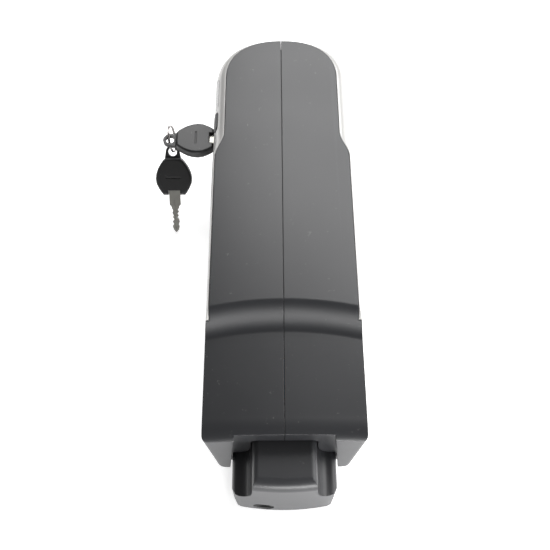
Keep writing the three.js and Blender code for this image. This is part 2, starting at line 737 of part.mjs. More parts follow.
// Rail: a flanged bar that the pack's channel slides on.
let rail = block(-RAIL.neckHalf, RAIL.neckHalf, RAIL.nearY, RAIL.farY, 0, RAIL.neckZ + 1)
  .add(block(-RAIL.half, RAIL.half, RAIL.nearY, RAIL.farY, RAIL.neckZ, RAIL.topZ))
  .subtract(rod("z", 3, FAR, [BOLT.x, BOLT.y], BOLT.radius + 0.6, 16));
for (const y of [-FRAME_SCREW_Y, FRAME_SCREW_Y]) {
  rail = rail
    .subtract(rod("z", -1, FAR, [0, y], 2.8, 14))
    .subtract(rod("z", 6.4, FAR, [0, y], 5.4, 16));
}
piece("dock_rail", rail, 0x303133, 0.5);

[-FRAME_SCREW_Y, FRAME_SCREW_Y].forEach((y, i) => {
  const screw = rod("z", 6.7, 9.6, [0, y], 4.6, 16)
    .add(rod("z", 0.4, 7, [0, y], 2.4, 12))
    .subtract(rod("z", 8, FAR, [0, y], 2, 6));
  piece(`frame_screw_${i + 1}`, screw, 0x8f9192, 0.3, 1);
});

// Nose: the section above, its front rolled over at the top and bulging a little in plan.
function noseBody(inset) {
  const back = NOSE.backY - (inset ? NOSE.wall : 0);
  const along = alongY(noseSection(-inset), NOSE.frontY - 5, back);
  const layer = (z, extra) => {
    const front = NOSE.frontY + (NOSE.lean * Math.max(z, 0)) / NOSE.topZ + extra + inset;
    const half = NOSE.footHalf - inset;
    const corner = 3.5;
    const outline = [flat(half, back), flat(-half, back), flat(-half, front + NOSE.bow + corner)];
    const steps = 8;
    for (let i = 0; i <= steps; i++) {
      const x = -half + corner * 0.35 + ((2 * half - corner * 0.7) * i) / steps;
      outline.push(flat(x, front + NOSE.bow * (x / half) ** 2 + (i % steps === 0 ? corner * 0.4 : 0)));
    }
    outline.push(flat(half, front + NOSE.bow + corner));
    return { height: z, outline };
  };
  const start = NOSE.topZ - inset - NOSE.roll;
  const layers = [layer(-2, 0)];
  const steps = 4;
  for (let i = 0; i < steps; i++) {
    const turn = (Math.PI / 2) * (i / steps);
    layers.push(layer(start + NOSE.roll * Math.sin(turn), NOSE.roll * (1 - Math.cos(turn))));
  }
  layers.push(layer(start + NOSE.roll + 1, NOSE.roll));
  return along.intersect(stack(layers));
}

const floorTop = 2.4;
const noseInside = noseBody(NOSE.wall);
const cableHole = rod("y", -FAR, NOSE.frontY + 12, [CABLE_HOLE.x, CABLE_HOLE.z], CABLE_HOLE.radius);
const connectorDoor = block(
  -CONNECTOR.half - GAP, CONNECTOR.half + GAP, -115, FAR, CONNECTOR.lowZ - GAP, CONNECTOR.highZ + GAP,
);
const aboveGround = block(-FAR, FAR, -FAR, FAR, 0, FAR);
piece(
  "dock_nose",
  noseBody(0).intersect(aboveGround).subtract(noseInside).subtract(cableHole).subtract(connectorDoor),
  0x37383b,
  0.5,
);
const noseFloor = noseBody(NOSE.wall + GAP).intersect(block(-FAR, FAR, -FAR, FAR, 0, floorTop));
const noseScrewY = -132;
const NOSE_SCREW_X = 22;
let floorPlate = noseFloor;
for (const x of [-NOSE_SCREW_X, NOSE_SCREW_X]) {
  floorPlate = floorPlate.subtract(rod("z", -1, 5, [x, noseScrewY], 3.2, 12));
}
piece("dock_nose_floor", floorPlate, 0x303133, 0.55);
[-NOSE_SCREW_X, NOSE_SCREW_X].forEach((x, i) => {
  const screw = rod("z", 0.3, 2.2, [x, noseScrewY], 2.9, 12).add(rod("z", 1, 14, [x, noseScrewY], 1.4, 10));
  piece(`nose_screw_${i + 1}`, screw, 0x9a9a98, 0.35, 1);
});

const grommetY = [NOSE.frontY + 0.9, NOSE.frontY + 7];
piece(
  "cable_grommet",
  rod("y", grommetY[0], grommetY[1], [CABLE_HOLE.x, CABLE_HOLE.z], CABLE_HOLE.radius - GAP)
    .subtract(rod("y", -FAR, FAR, [CABLE_HOLE.x, CABLE_HOLE.z], CABLE_HOLE.radius - 2.4, 20)),
  0x141414,
  0.85,
);

piece(
  "dock_connector",
  block(
    -CONNECTOR.half, CONNECTOR.half, -122, POCKET.backY - 1.4, CONNECTOR.lowZ, CONNECTOR.highZ,
  ).subtract(
    [...Array(CONNECTOR.blades).keys()]
      .map((i) => block(bladeX(i) - 0.8, bladeX(i) + 0.8, -119.5, FAR, 34, 44))
      .reduce((all, slot) => all.add(slot)),
  ),
  0x1c1c1e,
  0.5,
);
for (let i = 0; i < CONNECTOR.blades; i++) {
  piece(
    `dock_blade_${i + 1}`,
    block(bladeX(i) - 0.5, bladeX(i) + 0.5, -119, -98, 34.4, 43.6),
    0xc9a24a,
    0.3,
    1,
  );
}

export default root;
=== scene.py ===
"""The looks of a down-tube battery pack on its dock, laid out as an add-on and run as a script."""
import json
import math

import bmesh
import bpy
from bpy.props import FloatProperty, FloatVectorProperty, PointerProperty
from mathutils import Matrix, Vector


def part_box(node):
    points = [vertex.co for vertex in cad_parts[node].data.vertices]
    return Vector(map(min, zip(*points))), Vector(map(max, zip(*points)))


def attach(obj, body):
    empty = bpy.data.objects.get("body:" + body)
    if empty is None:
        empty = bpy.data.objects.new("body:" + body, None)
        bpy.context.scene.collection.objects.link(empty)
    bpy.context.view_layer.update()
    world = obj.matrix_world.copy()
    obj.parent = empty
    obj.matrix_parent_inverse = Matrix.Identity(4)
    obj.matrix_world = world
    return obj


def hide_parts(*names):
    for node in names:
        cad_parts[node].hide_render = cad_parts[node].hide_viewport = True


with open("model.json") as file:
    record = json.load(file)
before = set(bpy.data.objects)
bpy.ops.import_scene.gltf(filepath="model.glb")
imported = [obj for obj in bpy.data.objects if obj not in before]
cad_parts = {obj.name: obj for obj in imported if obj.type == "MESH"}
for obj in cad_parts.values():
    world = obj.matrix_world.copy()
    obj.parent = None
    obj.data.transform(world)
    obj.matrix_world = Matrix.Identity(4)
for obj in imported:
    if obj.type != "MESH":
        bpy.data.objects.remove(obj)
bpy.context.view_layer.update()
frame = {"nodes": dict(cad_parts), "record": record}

bl_info = {
    "name": "Bicycle battery pack",
    "version": (1, 0, 0),
    "blender": (4, 5, 0),
    "location": "3D View > Sidebar > Battery pack",
    "description": "Builds the case, dock, lock, keys and finishes of a down-tube battery pack",
    "category": "Object",
}

MM = 0.001
SHELL_LOW, SHELL_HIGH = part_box("right_shell")
PANEL_LOW, PANEL_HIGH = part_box("right_side_panel")
NOSE_LOW, NOSE_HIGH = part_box("dock_nose")
GAP = 0.3 * MM  # between pieces that meet
REACH = 0.4  # how far a cutting solid runs past the pack

# Case
WIDE_Z = 76 * MM  # height of the body's widest line
CAP_EDGE_Z = 95.5 * MM  # height of the cap's outer edge
ARCH_Y = 138 * MM  # where the rounded far end starts
ARCH_POWER = 2.35  # 2 is an ellipse, more is squarer
ARCH_STEPS = 72
FLARE_NEAR = 66 * MM
FLARE_FAR = 87 * MM
STEP_FAR_Y = -45 * MM
STEP_NEAR_Y = -63 * MM
NEAR_LEAN = 2.5 * MM  # how far the near end's face leans out at its foot
NEAR_ROLL = 15 * MM  # length of the roll over the near end
FOOT_ROUND = 2.5 * MM
PLAN_CORNER = 3.2 * MM
PANEL_THICK = 2.2 * MM
WALL = 2.6 * MM
CAP_CUT = (0.07, 0.12)  # heights between which a cutting cap reaches
CHEEK = [(36.7 * MM, SHELL_LOW[2] - 5 * MM), (29 * MM, SHELL_HIGH[2])]  # inner faces of the near end's cheeks

# Openings in the case
LOCK_HOLE = 11.3 * MM
SOCKET_HOLE = 6.8 * MM
BOLT_HOLE = 4.5 * MM
BOLT_PIN_ALONG = 3.1 * MM  # from the middle of the bolt's box to its pin
GAUGE_PLACE = (0.126, 0.0895)  # along the pack, and up
GAUGE_SIZE = (28 * MM, 5 * MM)
BUTTON_PLACE = (0.101, 0.0885)
BUTTON_SIZE = (17 * MM, 6.5 * MM)
SHOULDER_CUT = (-0.014, 0.01)  # how deep and how far out the shoulder's holes are cut

# Dock nose
NOSE_WALL = 3 * MM
NOSE_CLEARANCE = 1 * MM  # between the nose and the pocket in the case
NOSE_LEAN = 1.2 * MM
NOSE_BOW = 3.5 * MM
NOSE_ROLL = 8 * MM
CABLE_HOLE = 7 * MM

# Keys and ring, in mm from the eye along the key and across it
SPARE_LEAN = 45.7  # degrees below level at which the spare key leans on the ground
RING_LEAN = -8  # degrees
BOW_END = 34.0
BOW_EDGE = [
    (4.4, 5.4), (6.4, 7.8), (9.4, 10.1), (13.0, 12.2), (17.0, 13.7), (21.0, 14.3), (25.0, 13.8), (29.0, 12.0),
    (32.0, 10.1), (BOW_END, 8.6),
]
BOW_LEVELS = [  # height above the key's middle plane, and how far the edge is set in
    (-4.0, 2.0), (-3.7, 1.1), (-3.0, 0.4), (-2.0, 0.0), (2.0, 0.0), (3.0, 0.4), (3.7, 1.1), (4.0, 2.0),
]
EYE_HOLE = 3.4
EYE_LUG = 5.4
BLADE_EDGE = [
    (30.3, 4.4), (42.4, 4.4), (43.4, 3.2), (45.2, 2.8), (46.6, 1.7), (48.2, 2.7), (49.8, 1.3), (51.4, 2.4),
    (53.0, 1.3), (54.8, 2.6), (57.0, 2.8), (58.6, 1.9), (60.4, 2.7), (62.8, 2.1), (64.9, 0.5),
]
BLADE_LOW_EDGE = [
    (64.9, -0.5), (62.8, -2.1), (59.8, -2.8), (58.0, -1.6), (56.2, -2.7), (54.4, -1.2), (52.6, -2.3),
    (50.8, -1.6), (49.0, -2.8), (47.2, -1.8), (45.2, -2.8), (43.4, -3.2), (42.4, -4.4), (30.3, -4.4),
]
Y_FROM_Z = Matrix(((1, 0, 0, 0), (0, 0, 1, 0), (0, -1, 0, 0), (0, 0, 0, 1)))
X_FROM_Z = Matrix(((0, 0, 1, 0), (0, 1, 0, 0), (-1, 0, 0, 0), (0, 0, 0, 1)))

# Shading: sockets of a colour Mix node, which share their names with its other kinds
MIX_SHARE, MIX_FIRST, MIX_SECOND, MIX_RESULT = 0, 6, 7, 2
DUST_TONE = (0.45, 0.44, 0.42, 1.0)
WHITE = (1.0, 1.0, 1.0, 1.0)

# Stage
FLOOR_Z = -0.0004
FLOOR_REACH = 8.0
FLOOR_GLOW = 0.65
WORLD_STRENGTH = 0.22
CAMERA_SENSOR = 36.0
CAMERA_LENS = 47.1
CAMERA_DIP = 63.1  # degrees that the camera looks down
CAMERA_PAN = 0.05
CAMERA_ROLL = -0.3
CAMERA_PLACE = (-0.005, -0.237, 0.508)
# Name, place, the point it faces, size and power in watts.
LIGHTS = [
    ("back_softbox", (0.35, 1.2, 1.45), (0.0, 0.0, 0.05), (1.9, 1.1), 43.0),
    ("right_softbox", (1.4, 0.2, 0.7), (0.0, 0.0, 0.05), (1.2, 1.0), 17.0),
    ("front_softbox", (0.6, -1.6, 0.2), (0.0, -0.15, 0.03), (1.8, 0.32), 44.0),
]


# ---- settings -----------------------------------------------------------------------------


def length(name, description, default):
    """A length that a user can change, in metres."""
    return FloatProperty(name=name, description=description, default=default, unit="LENGTH", precision=5)


def colour(name, description, default):
    """A linear colour that a user can change."""
    return FloatVectorProperty(name=name, description=description, default=default, subtype="COLOR", size=3,
                               min=0.0, max=1.0)


class BatteryPackShape(bpy.types.PropertyGroup):
    """Sizes of the case that the looks are built to."""

    wide_half: length("Widest half width", "Half width at the widest line", SHELL_HIGH[0] - 0.3 * MM)
    foot_half: length("Foot half width", "Half width at the underside", 44.6 * MM)
    cap_half: length("Cap half width", "Half width of the top cap beside the lock", 41 * MM)
    cap_wide_half: length("Flared cap half width", "Half width of the cap before the step", 47.2 * MM)
    low_crest: length("Low crest", "Height of the top just past the step", 84.4 * MM)
    crown: length("Crown", "Drop of the top from its middle to its edge", 2.4 * MM)
    seam_gap: length("Seam gap", "Gap between the two shells", GAP)


class BatteryPackFinish(bpy.types.PropertyGroup):
    """Colours of the pieces that show."""

    case: colour("Case", "Moulded case", (0.0165, 0.017, 0.019))
    silver: colour("Side panels", "Silver side panels", (0.45, 0.445, 0.435))
    dock: colour("Dock", "Moulded dock", (0.024, 0.0245, 0.027))
    key_bow: colour("Key bows", "Moulded key bows", (0.010, 0.010, 0.0105))
    floor: colour("Floor", "Studio floor", (0.93, 0.93, 0.93))


# ---- mesh helpers -------------------------------------------------------------------------


def make_object(name, verts, faces):
    """A new mesh object in metres, with its faces turned outwards."""
    mesh = bpy.data.meshes.new(name)
    mesh.from_pydata(verts, [], faces)
    bm = bmesh.new()
    bm.from_mesh(mesh)
    bmesh.ops.remove_doubles(bm, verts=bm.verts, dist=1e-7)
    bmesh.ops.recalc_face_normals(bm, faces=bm.faces)
    bm.to_mesh(mesh)
    bm.free()
    obj = bpy.data.objects.new(name, mesh)
    bpy.context.scene.collection.objects.link(obj)
    return obj


def stack(name, layers, order=(0, 1, 2)):
    """A closed solid through outlines of equal count: layers are (height, [(u, v), ...]).
    order gives the axes that u, v and the height run along."""
    count = len(layers[0][1])
    verts = []
    for height, outline in layers:
        for u, v in outline:
            point = [0.0, 0.0, 0.0]
            point[order[0]], point[order[1]], point[order[2]] = u, v, height
            verts.append(point)
    faces = [list(range(count)), list(range((len(layers) - 1) * count, len(layers) * count))]
    for level in range(len(layers) - 1):
        for i in range(count):
            here = level * count + i
            after = level * count + (i + 1) % count
            faces.append([here, after, after + count, here + count])
    return make_object(name, verts, faces)


def box(name, low, high):
    """A plain cutting block between two corners."""
    outline = [(low[0], low[1]), (high[0], low[1]), (high[0], high[1]), (low[0], high[1])]
    return stack(name, [(low[2], outline), (high[2], outline)])


def disc(radius, centre=(0.0, 0.0), sides=48):
    """Points round a circle."""
    turns = [2 * math.pi * i / sides for i in range(sides)]
    return [(centre[0] + radius * math.cos(t), centre[1] + radius * math.sin(t)) for t in turns]


def rod(name, axis, start, end, centre, radius, sides=48):
    """A cutting or building rod along an axis given by its letter."""
    order = {"x": (1, 2, 0), "y": (0, 2, 1), "z": (0, 1, 2)}[axis]
    return stack(name, [(start, disc(radius, centre, sides)), (end, disc(radius, centre, sides))], order)


def settle(obj):
    """Turns an object's modifiers into its mesh."""
    graph = bpy.context.evaluated_depsgraph_get()
    mesh = bpy.data.meshes.new_from_object(obj.evaluated_get(graph))
    old = obj.data
    obj.modifiers.clear()
    obj.data = mesh
    mesh.name = obj.name
    bpy.data.meshes.remove(old)
    return obj


def combine(obj, tool, operation="DIFFERENCE"):
    """Cuts, joins or intersects obj with tool, which is used up."""
    modifier = obj.modifiers.new("combine", "BOOLEAN")
    modifier.object = tool
    modifier.operation = operation
    modifier.solver = "MANIFOLD"
    settle(obj)
    bpy.data.objects.remove(tool)
    return obj


def copy_of(obj, name):
    """A separate copy of an object and its mesh."""
    twin = obj.copy()
    twin.data = obj.data.copy()
    twin.name = name
    bpy.context.scene.collection.objects.link(twin)
    return twin


def tidy_mesh(obj):
    """Merges stray vertices and turns the faces outwards."""
    bm = bmesh.new()
    bm.from_mesh(obj.data)
    bmesh.ops.remove_doubles(bm, verts=bm.verts, dist=2e-6)
    bmesh.ops.dissolve_degenerate(bm, edges=bm.edges, dist=1e-6)
    bmesh.ops.recalc_face_normals(bm, faces=bm.faces)
    bm.to_mesh(obj.data)
    bm.free()


def smooth(obj, angle=34):
    """Smooth shading, weighted by the size of the faces, that keeps edges sharper than an angle."""
    tidy_mesh(obj)
    obj.data.shade_smooth()
    obj.data.set_sharp_from_angle(angle=math.radians(angle))
    weighted = obj.modifiers.new("weighted normals", "WEIGHTED_NORMAL")
    weighted.keep_sharp = True
    return settle(obj)


def finish_piece(obj, body, slot, material, *nodes):
    """Gives a piece its body and finish, and hides the CAD nodes that it stands for. The slot is not used."""
    obj.data.materials.clear()
    obj.data.materials.append(material)
    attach(obj, body)
    if nodes:
        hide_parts(*nodes)
    return obj


# ---- body form ----------------------------------------------------------------------------


def blend_share(share):
    """A smooth 0 to 1 ramp."""
    return share * share * (3 - 2 * share)


def arch(half, base, tip, steps):
    """Points round the far end, from the right side to the left."""
    points = []
    for i in range(steps + 1):
        turn = math.pi * i / steps
        across = math.copysign(abs(math.cos(turn)) ** (2 / ARCH_POWER), math.cos(turn))
        along = abs(math.sin(turn)) ** (2 / ARCH_POWER)
        points.append((half * across, base + (tip - base) * along))
    return points


def near_at(z):
    """The near end's face leans out towards its foot."""
    lean = (PANEL_HIGH[2] - z) / (PANEL_HIGH[2] - SHELL_LOW[2])
    return SHELL_LOW[1] + NEAR_LEAN * (1 - lean)


def cap_half_at(shape, y):
    """Half width of the raised cap at a place along the pack."""
    part = min(1.0, max(0.0, (y - FLARE_NEAR) / (FLARE_FAR - FLARE_NEAR)))
    return shape.cap_wide_half + (shape.cap_half - shape.cap_wide_half) * blend_share(part)


def flare_places():
    """Places along the pack at which the sides' outline has its points."""
    straight = [SHELL_LOW[1] + 10 * MM + 20 * MM * i for i in range(10)]
    flare = [FLARE_NEAR + (FLARE_FAR - FLARE_NEAR) * i / 16 for i in range(17)]
    return [y for y in straight if y < FLARE_NEAR - 5 * MM] + flare + [FLARE_FAR + 20 * MM]


def sides(name, shape, inset=0.0, low=None, steps=ARCH_STEPS):
    """The body's sides all round, with the shoulder above the widest line, set in by some distance."""
    low = SHELL_LOW[2] if low is None else low
    tip = PANEL_HIGH[1]

    def plan(base, share, far, near):
        def half(y):
            return base - (shape.wide_half - cap_half_at(shape, y)) * share - inset

        right = []
        for i in range(5):
            turn = math.pi / 2 * i / 4
            right.append((half(near) - PLAN_CORNER * (1 - math.sin(turn)),
                          near + PLAN_CORNER * (1 - math.cos(turn))))
        right += [(half(y), y) for y in flare_places()]
        return right + arch(half(ARCH_Y), ARCH_Y, far - inset, steps) + [(-x, y) for x, y in reversed(right)]

    layers = []
    for i in range(4):
        turn = math.pi / 2 * i / 3
        chamfer = FOOT_ROUND * (1 - math.sin(turn))
        height = low + FOOT_ROUND * (1 - math.cos(turn))
        layers.append((height, plan(shape.foot_half - chamfer, 0.0, tip - FOOT_ROUND - chamfer,
                                    near_at(height) + inset)))
    across = shape.wide_half - shape.cap_half
    levels = 12
    for i in range(levels + 1):
        turn = math.pi / 2 * i / levels
        share = 1 - math.cos(turn)
        height = WIDE_Z + (CAP_EDGE_Z - WIDE_Z - inset) * math.sin(turn)
        layers.append((height, plan(shape.wide_half, share, tip - across * share, near_at(height) + inset)))
    layers.append((SHELL_HIGH[2] + 4 * MM,
                   plan(shape.wide_half, 1.0, tip - across, near_at(CAP_EDGE_Z) + inset)))
    return stack(name, layers)


def crest_line(shape, x, drop):
    """The top seen from the side at a distance from the middle plane, near end first."""
    share = (x / shape.cap_wide_half) ** 2
    down = shape.crown * share + drop
    sweep = 4 * MM * share - drop / 2
    near = near_at(CAP_EDGE_Z)
    rise = SHELL_HIGH[2] - shape.low_crest
    line = []
    start = shape.low_crest - 2 * MM
    for i in range(13):
        turn = math.pi / 2 * i / 12
        line.append((near + NEAR_ROLL - (NEAR_ROLL + 2.5 * MM) * math.cos(turn),
                     start - 10 * MM * (1 - math.sin(turn)) ** 1.35))
    steps = 22
    for i in range(steps + 1):
        part = i / steps
        line.append((STEP_NEAR_Y + (STEP_FAR_Y - STEP_NEAR_Y) * part - sweep,
                     shape.low_crest + rise * blend_share(part)))
    line.append((SHELL_HIGH[1] + 20 * MM, SHELL_HIGH[2]))
    return [(y, z - down) for y, z in line]


def under_crest(name, shape, drop=0.0):
    """Everything below the top, as a cutting solid."""
    reach = shape.wide_half + 4 * MM
    stations = 28
    layers = []
    for i in range(stations + 1):
        x = reach * (2 * i / stations - 1)
        line = crest_line(shape, x, drop)
        foot = [(line[-1][0], 0.0), (line[0][0], 0.0)]
        layers.append((x, line + foot))
    return stack(name, layers, (1, 2, 0))


def cap_plan(shape, grow=0.0):
    """The plan of the raised cap: narrow beside the lock, flared before the step."""
    half = [(cap_half_at(shape, y) + grow, y) for y in [-100 * MM] + flare_places() if y >= -100 * MM]
    tip = PANEL_HIGH[1] - (shape.wide_half - shape.cap_half)
    curve = arch(shape.cap_half + grow, ARCH_Y, tip + grow, ARCH_STEPS)
    right = half + curve[:ARCH_STEPS // 2] + [(0.0, tip + grow)]
    return right + [(-x, y) for x, y in reversed(right[:-1])]


def cap_block(shape, grow=0.0):
    """A cutting block with the plan of the raised cap."""
    return stack("cap", [(height, cap_plan(shape, grow)) for height in CAP_CUT])


def nose_section(grow=0.0):
    """The nose's section across, from the ground up and over its raised middle."""
    half = NOSE_HIGH[0] + grow
    top = NOSE_HIGH[2] + grow
    bump = 20 * MM + grow
    shoulder = 36 * MM + grow
    edge = 4.6 * MM
    rise = 5 * MM
    right = [(half, NOSE_LOW[2] - 2 * MM), (half, shoulder - rise)]
    for i in range(1, 7):
        turn = math.pi / 2 * i / 6
        right.append((half - edge * (1 - math.cos(turn)), shoulder - rise + rise * math.sin(turn)))
    for i in range(1, 11):
        part = i / 10
        right.append((half - edge - (half - edge - bump) * (1 - (1 - part) ** 2.4),
                      shoulder + (top - rise - shoulder) * part ** 1.9))
    for i in range(1, 7):
        turn = math.pi / 2 * i / 6
        right.append((bump - 4 * MM * (1 - math.cos(turn)), top - rise + rise * math.sin(turn)))
    return right + [(-x, z) for x, z in reversed(right)]


def along_y(name, outline, near, far):
    """A prism of an outline in X and Z, between two places along the pack."""
    return stack(name, [(near, outline), (far, outline)], (0, 2, 1))


def shoulder_frame(shape, y, z, left=True):
    """A frame on the shoulder of the side panel: X outwards, Y along the pack."""
    rise = (z - WIDE_Z) / (CAP_EDGE_Z - WIDE_Z)
    turn = math.asin(rise)
    across = shape.wide_half - shape.cap_half
    half = shape.cap_half + across * math.cos(turn)
    side = -1 if left else 1
    out = Vector((side * math.cos(turn) / across, 0, math.sin(turn) / (CAP_EDGE_Z - WIDE_Z))).normalized()
    along = Vector((0, 1, 0))
    up = out.cross(along)
    return Matrix.Translation((side * half, y, z)) @ Matrix((out, along, up)).transposed().to_4x4()


def bar_outline(span, height, grow=0.0, steps=16):
    """A bar with round ends, in the plane of its length and height."""
    straight = (span - height) / 2
    radius = height / 2 + grow
    points = []
    for side in (1, -1):
        for i in range(steps + 1):
            turn = math.pi * i / steps - math.pi / 2
            points.append((side * (straight + radius * math.cos(turn)), side * radius * math.sin(turn)))
    return points


def shoulder_bar(name, shape, place, span, height, inner, outer, grow=0.0):
    """A round-ended bar set into the left shoulder."""
    outline = bar_outline(span, height, grow)
    bar = stack(name, [(inner, outline), (outer, outline)], (1, 2, 0))
    bar.data.transform(shoulder_frame(shape, *place))
    return bar


# ---- finishes -----------------------------------------------------------------------------


def group_with(name, inputs, outputs):
    """A new shader node group with named sockets, and its input and output nodes."""
    group = bpy.data.node_groups.new(name, "ShaderNodeTree")
    for label, kind, default in inputs:
        socket = group.interface.new_socket(label, in_out="INPUT", socket_type=kind)
        socket.default_value = default
    for label, kind in outputs:
        group.interface.new_socket(label, in_out="OUTPUT", socket_type=kind)
    start = group.nodes.new("NodeGroupInput")
    end = group.nodes.new("NodeGroupOutput")
    return group, start, end


def node(tree, kind, settings=None, **values):
    """A node with its settings and the defaults of its named inputs."""
    made = tree.nodes.new(kind)
    for key, value in (settings or {}).items():
        setattr(made, key, value)
    for key, value in values.items():
        made.inputs[key.replace("_", " ")].default_value = value
    return made


def spark_grain():
    """The fine spark-eroded texture of a mould: a height and a soft tone variation."""
    if "spark grain" in bpy.data.node_groups:
        return bpy.data.node_groups["spark grain"]
    group, start, end = group_with(
        "spark grain",
        [("Scale", "NodeSocketFloat", 1800.0), ("Depth", "NodeSocketFloat", 1.0),
         ("Cloud Scale", "NodeSocketFloat", 18.0)],
        [("Height", "NodeSocketFloat"), ("Cloud", "NodeSocketFloat")],
    )
    coords = node(group, "ShaderNodeTexCoord")
    fine = node(group, "ShaderNodeTexNoise", Detail=3.0, Roughness=0.65)
    cells = node(group, "ShaderNodeTexVoronoi", {"feature": "SMOOTH_F1"}, Smoothness=0.6)
    cloud = node(group, "ShaderNodeTexNoise", Detail=4.0, Roughness=0.5)
    mix = node(group, "ShaderNodeMath", {"operation": "MULTIPLY_ADD"})
    mix.inputs[1].default_value = 0.5
    scaled = node(group, "ShaderNodeMath", {"operation": "MULTIPLY"})
    link = group.links.new
    link(coords.outputs["Object"], fine.inputs["Vector"])
    link(coords.outputs["Object"], cells.inputs["Vector"])
    link(coords.outputs["Object"], cloud.inputs["Vector"])
    link(start.outputs["Scale"], fine.inputs["Scale"])
    link(start.outputs["Scale"], cells.inputs["Scale"])
    link(start.outputs["Cloud Scale"], cloud.inputs["Scale"])
    link(cells.outputs["Distance"], mix.inputs[0])
    link(fine.outputs["Fac"], mix.inputs[2])
    link(mix.outputs[0], scaled.inputs[0])
    link(start.outputs["Depth"], scaled.inputs[1])
    link(scaled.outputs[0], end.inputs["Height"])
    link(cloud.outputs["Fac"], end.inputs["Cloud"])
    return group


def edge_wear():
    """Where edges are rubbed bright: a mask from how sharply the surface turns, broken up by noise."""
    if "edge wear" in bpy.data.node_groups:
        return bpy.data.node_groups["edge wear"]
    group, start, end = group_with(
        "edge wear",
        [("Reach", "NodeSocketFloat", 0.56), ("Breakup", "NodeSocketFloat", 140.0)],
        [("Mask", "NodeSocketFloat")],
    )
    geometry = node(group, "ShaderNodeNewGeometry")
    coords = node(group, "ShaderNodeTexCoord")
    noise_node = node(group, "ShaderNodeTexNoise", Detail=5.0, Roughness=0.7)
    ramp = node(group, "ShaderNodeMapRange", {"interpolation_type": "SMOOTHSTEP"}, From_Max=0.7)
    product = node(group, "ShaderNodeMath", {"operation": "MULTIPLY"})
    link = group.links.new
    link(coords.outputs["Object"], noise_node.inputs["Vector"])
    link(start.outputs["Breakup"], noise_node.inputs["Scale"])
    link(geometry.outputs["Pointiness"], ramp.inputs["Value"])
    link(start.outputs["Reach"], ramp.inputs["From Min"])
    link(ramp.outputs["Result"], product.inputs[0])
    link(noise_node.outputs["Fac"], product.inputs[1])
    link(product.outputs[0], end.inputs["Mask"])
    return group


def settled_dust():
    """Light dust and specks on faces that look up."""
    if "settled dust" in bpy.data.node_groups:
        return bpy.data.node_groups["settled dust"]
    group, start, end = group_with(
        "settled dust",
        [("Amount", "NodeSocketFloat", 0.2), ("Scale", "NodeSocketFloat", 260.0)],
        [("Mask", "NodeSocketFloat")],
    )
    coords = node(group, "ShaderNodeTexCoord")
    specks = node(group, "ShaderNodeTexNoise", Detail=2.0, Roughness=0.8)
    patch = node(group, "ShaderNodeTexNoise", Scale=14.0, Detail=3.0)
    sharp = node(group, "ShaderNodeMapRange", From_Min=0.68, From_Max=0.76)
    geometry = node(group, "ShaderNodeNewGeometry")
    split = node(group, "ShaderNodeSeparateXYZ")
    first = node(group, "ShaderNodeMath", {"operation": "MULTIPLY"})
    second = node(group, "ShaderNodeMath", {"operation": "MULTIPLY", "use_clamp": True})
    third = node(group, "ShaderNodeMath", {"operation": "MULTIPLY", "use_clamp": True})
    link = group.links.new
    link(coords.outputs["Object"], specks.inputs["Vector"])
    link(coords.outputs["Object"], patch.inputs["Vector"])
    link(start.outputs["Scale"], specks.inputs["Scale"])
    link(specks.outputs["Fac"], sharp.inputs["Value"])
    link(geometry.outputs["Normal"], split.inputs[0])
    link(sharp.outputs["Result"], first.inputs[0])
    link(patch.outputs["Fac"], first.inputs[1])
    link(first.outputs[0], second.inputs[0])
    link(split.outputs["Z"], second.inputs[1])
    link(second.outputs[0], third.inputs[0])
    link(start.outputs["Amount"], third.inputs[1])
    link(third.outputs[0], end.inputs["Mask"])
    return group


def placed(tree, group, **values):
    """A node that places a group, with its own values."""
    made = tree.nodes.new("ShaderNodeGroup")
    made.node_tree = group
    for key, value in values.items():
        made.inputs[key.replace("_", " ")].default_value = value
    return made


def new_material(name):
    """An empty node material and its Principled shader."""
    material = bpy.data.materials.new(name)
    material.use_nodes = True
    return material, material.node_tree, material.node_tree.nodes["Principled BSDF"]


def tone(rgb, factor):
    """A colour made lighter or darker, with full alpha."""
    return tuple(min(1.0, c * factor) for c in rgb) + (1.0,)


